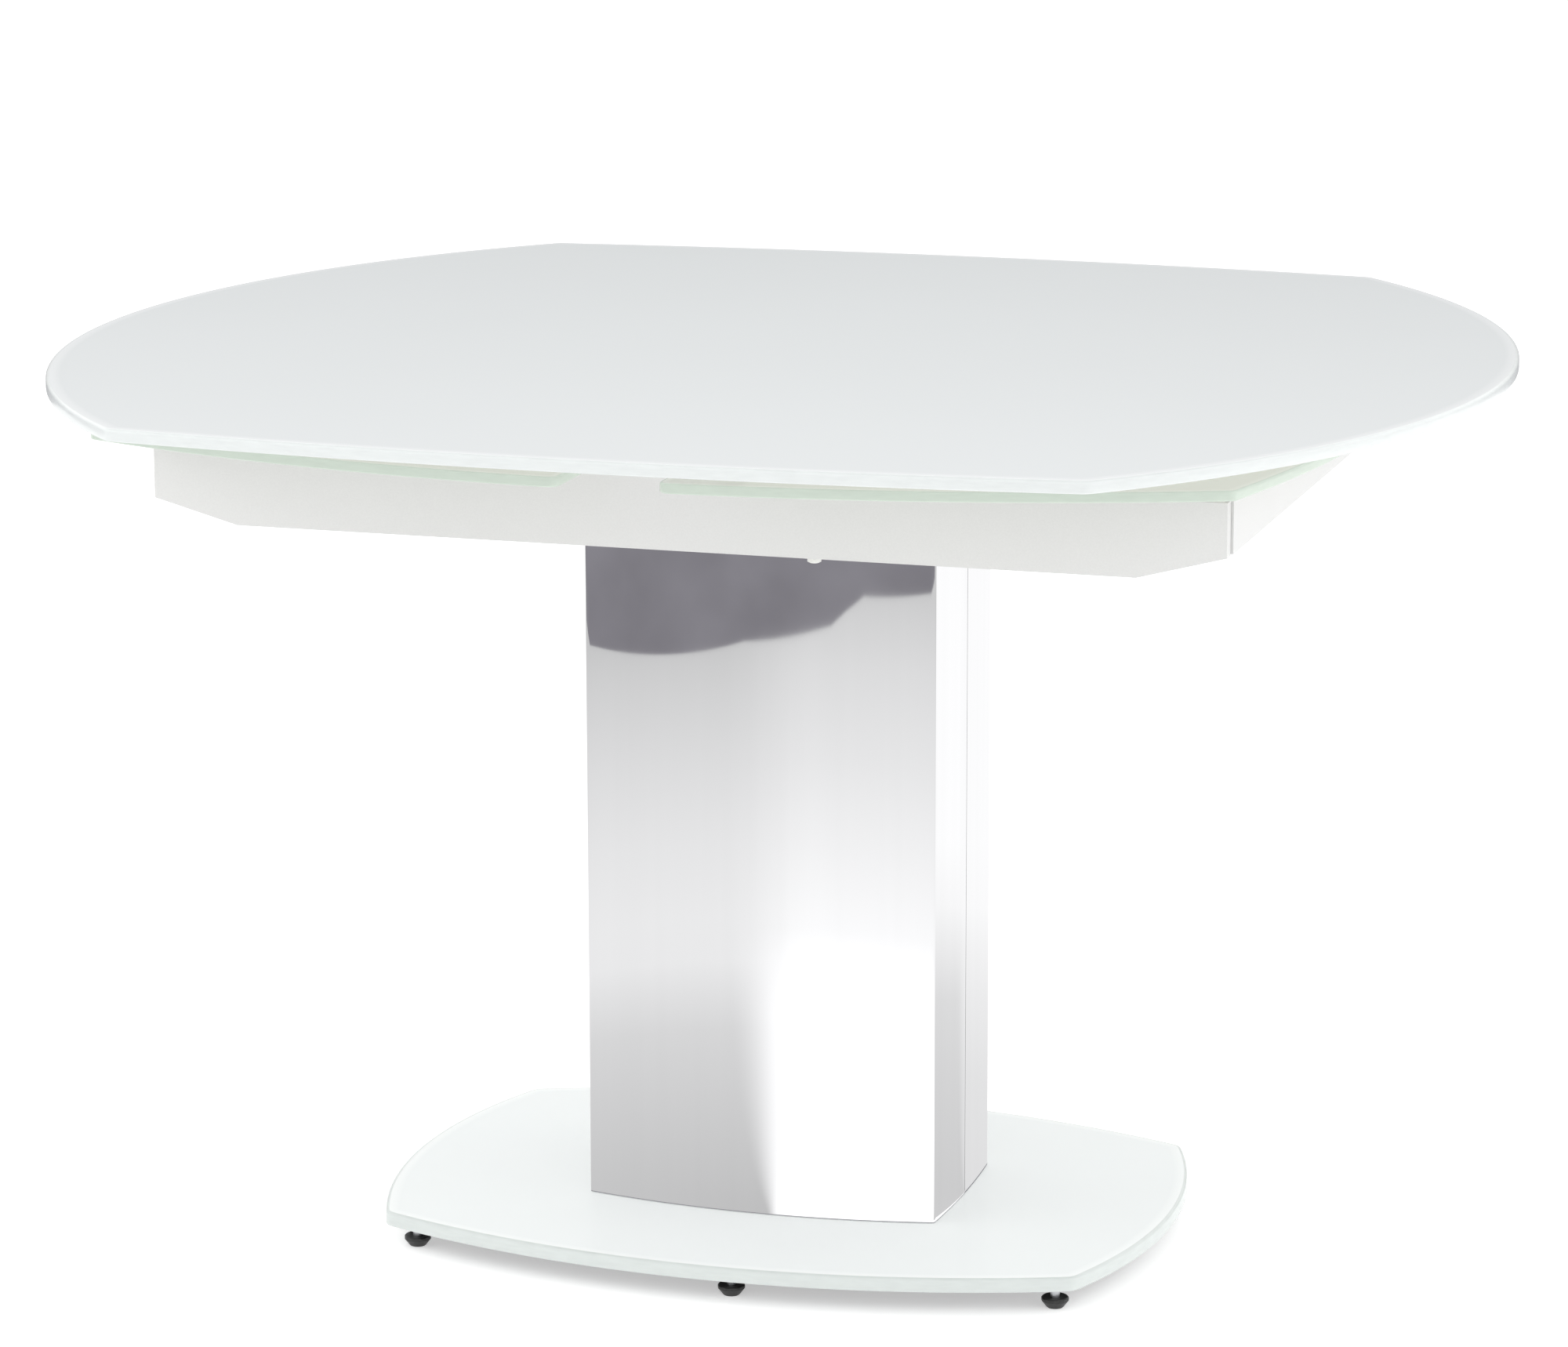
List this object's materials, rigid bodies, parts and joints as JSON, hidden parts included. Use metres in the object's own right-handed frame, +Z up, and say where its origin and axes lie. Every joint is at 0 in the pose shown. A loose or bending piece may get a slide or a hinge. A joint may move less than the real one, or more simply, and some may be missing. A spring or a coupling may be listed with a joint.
{
  "type": "extendable dining table",
  "caption": "Barrel-shaped white glass dining table on one polished steel column and a glass base, with a glass leaf that draws out at each end.",
  "frame": {"origin": "on the floor, under the column's axis", "axes": "+X along the table towards its right end, +Y to its back, +Z up"},
  "size_m": [1.2, 1.0938, 0.755],
  "materials": {
    "white_glass": "gloss toughened glass, lacquered white underneath, polished edge",
    "leaf_glass": "gloss toughened glass with a green polished edge, lacquered white underneath",
    "white_lacquer": "satin white powder coat",
    "polished_steel": "mirror-polished stainless steel",
    "grey_steel": "grey powder coat",
    "black_steel": "matt black paint",
    "zinc_steel": "bright zinc plating",
    "disc_aluminium": "turned aluminium",
    "black_plastic": "moulded black plastic",
    "black_rubber": "matt black rubber",
    "white_nylon": "white nylon"
  },
  "bodies": {
    "frame": {"base_glass": "white_glass", "base_plate": "black_steel", "column_gasket": "black_rubber", "column_bottom_flange": "grey_steel", "column_tube": "grey_steel", "column_top_flange": "grey_steel", "column_bolts": "zinc_steel", "column_nuts": "zinc_steel", "shell_ribs": "grey_steel", "shell_front": "polished_steel", "shell_back": "polished_steel", "cross_tubes": "grey_steel", "side_beams": "grey_steel", "tie_bars": "grey_steel", "frame_bolts": "zinc_steel", "frame_nuts": "zinc_steel", "apron_front": "white_lacquer", "apron_back": "white_lacquer", "apron_plugs": "white_nylon", "guide_pads": "white_nylon", "bridge_posts": "grey_steel", "bridge_bar": "grey_steel", "leaf_stops": "black_rubber", "top_discs": "disc_aluminium", "top_screws": "zinc_steel", "top_glass": "white_glass", "rails_outer": "zinc_steel"},
    "leaf_left": {"rail_inner_left": "zinc_steel", "carriage_left": "grey_steel", "leaf_discs_left": "disc_aluminium", "leaf_screws_left": "zinc_steel", "end_brackets_left": "grey_steel", "end_board_left": "white_lacquer", "leaf_glass_left": "leaf_glass"},
    "leaf_right": {"rail_inner_right": "zinc_steel", "carriage_right": "grey_steel", "leaf_discs_right": "disc_aluminium", "leaf_screws_right": "zinc_steel", "end_brackets_right": "grey_steel", "end_board_right": "white_lacquer", "leaf_glass_right": "leaf_glass"},
    "slide_left": {"rail_mid_left": "zinc_steel", "liners_left": "white_nylon"},
    "slide_right": {"rail_mid_right": "zinc_steel", "liners_right": "white_nylon"},
    "foot_1": {"foot_pad_1": "black_plastic", "foot_stud_1": "zinc_steel"},
    "foot_2": {"foot_pad_2": "black_plastic", "foot_stud_2": "zinc_steel"},
    "foot_3": {"foot_pad_3": "black_plastic", "foot_stud_3": "zinc_steel"},
    "foot_4": {"foot_pad_4": "black_plastic", "foot_stud_4": "zinc_steel"},
    "foot_5": {"foot_pad_5": "black_plastic", "foot_stud_5": "zinc_steel"},
    "foot_6": {"foot_pad_6": "black_plastic", "foot_stud_6": "zinc_steel"}
  },
  "joints": [
    {"name": "leaf_right_draw", "type": "slide", "parent": "frame", "child": "leaf_right", "axis": [1, 0, 0], "range_m": [0, 0.35]},
    {"name": "leaf_left_draw", "type": "slide", "parent": "frame", "child": "leaf_left", "axis": [-1, 0, 0], "range_m": [0, 0.35]},
    {"name": "slide_right_run", "type": "slide", "parent": "frame", "child": "slide_right", "axis": [1, 0, 0], "range_m": [0, 0.175]},
    {"name": "slide_left_run", "type": "slide", "parent": "frame", "child": "slide_left", "axis": [-1, 0, 0], "range_m": [0, 0.175]},
    {"name": "foot_1_turn", "type": "hinge", "parent": "frame", "child": "foot_1", "pos_m": [-0.278, -0.169, 0.016], "axis": [0, 0, 1], "continuous": true},
    {"name": "foot_2_turn", "type": "hinge", "parent": "frame", "child": "foot_2", "pos_m": [0.015, -0.215, 0.016], "axis": [0, 0, 1], "continuous": true},
    {"name": "foot_3_turn", "type": "hinge", "parent": "frame", "child": "foot_3", "pos_m": [0.278, -0.169, 0.016], "axis": [0, 0, 1], "continuous": true},
    {"name": "foot_4_turn", "type": "hinge", "parent": "frame", "child": "foot_4", "pos_m": [0.278, 0.169, 0.016], "axis": [0, 0, 1], "continuous": true},
    {"name": "foot_5_turn", "type": "hinge", "parent": "frame", "child": "foot_5", "pos_m": [-0.015, 0.215, 0.016], "axis": [0, 0, 1], "continuous": true},
    {"name": "foot_6_turn", "type": "hinge", "parent": "frame", "child": "foot_6", "pos_m": [-0.278, 0.169, 0.016], "axis": [0, 0, 1], "continuous": true}
  ],
  "couplings": [
    {"joint": "slide_right_run", "follows": "leaf_right_draw", "ratio": 0.5},
    {"joint": "slide_left_run", "follows": "leaf_left_draw", "ratio": 0.5}
  ]
}
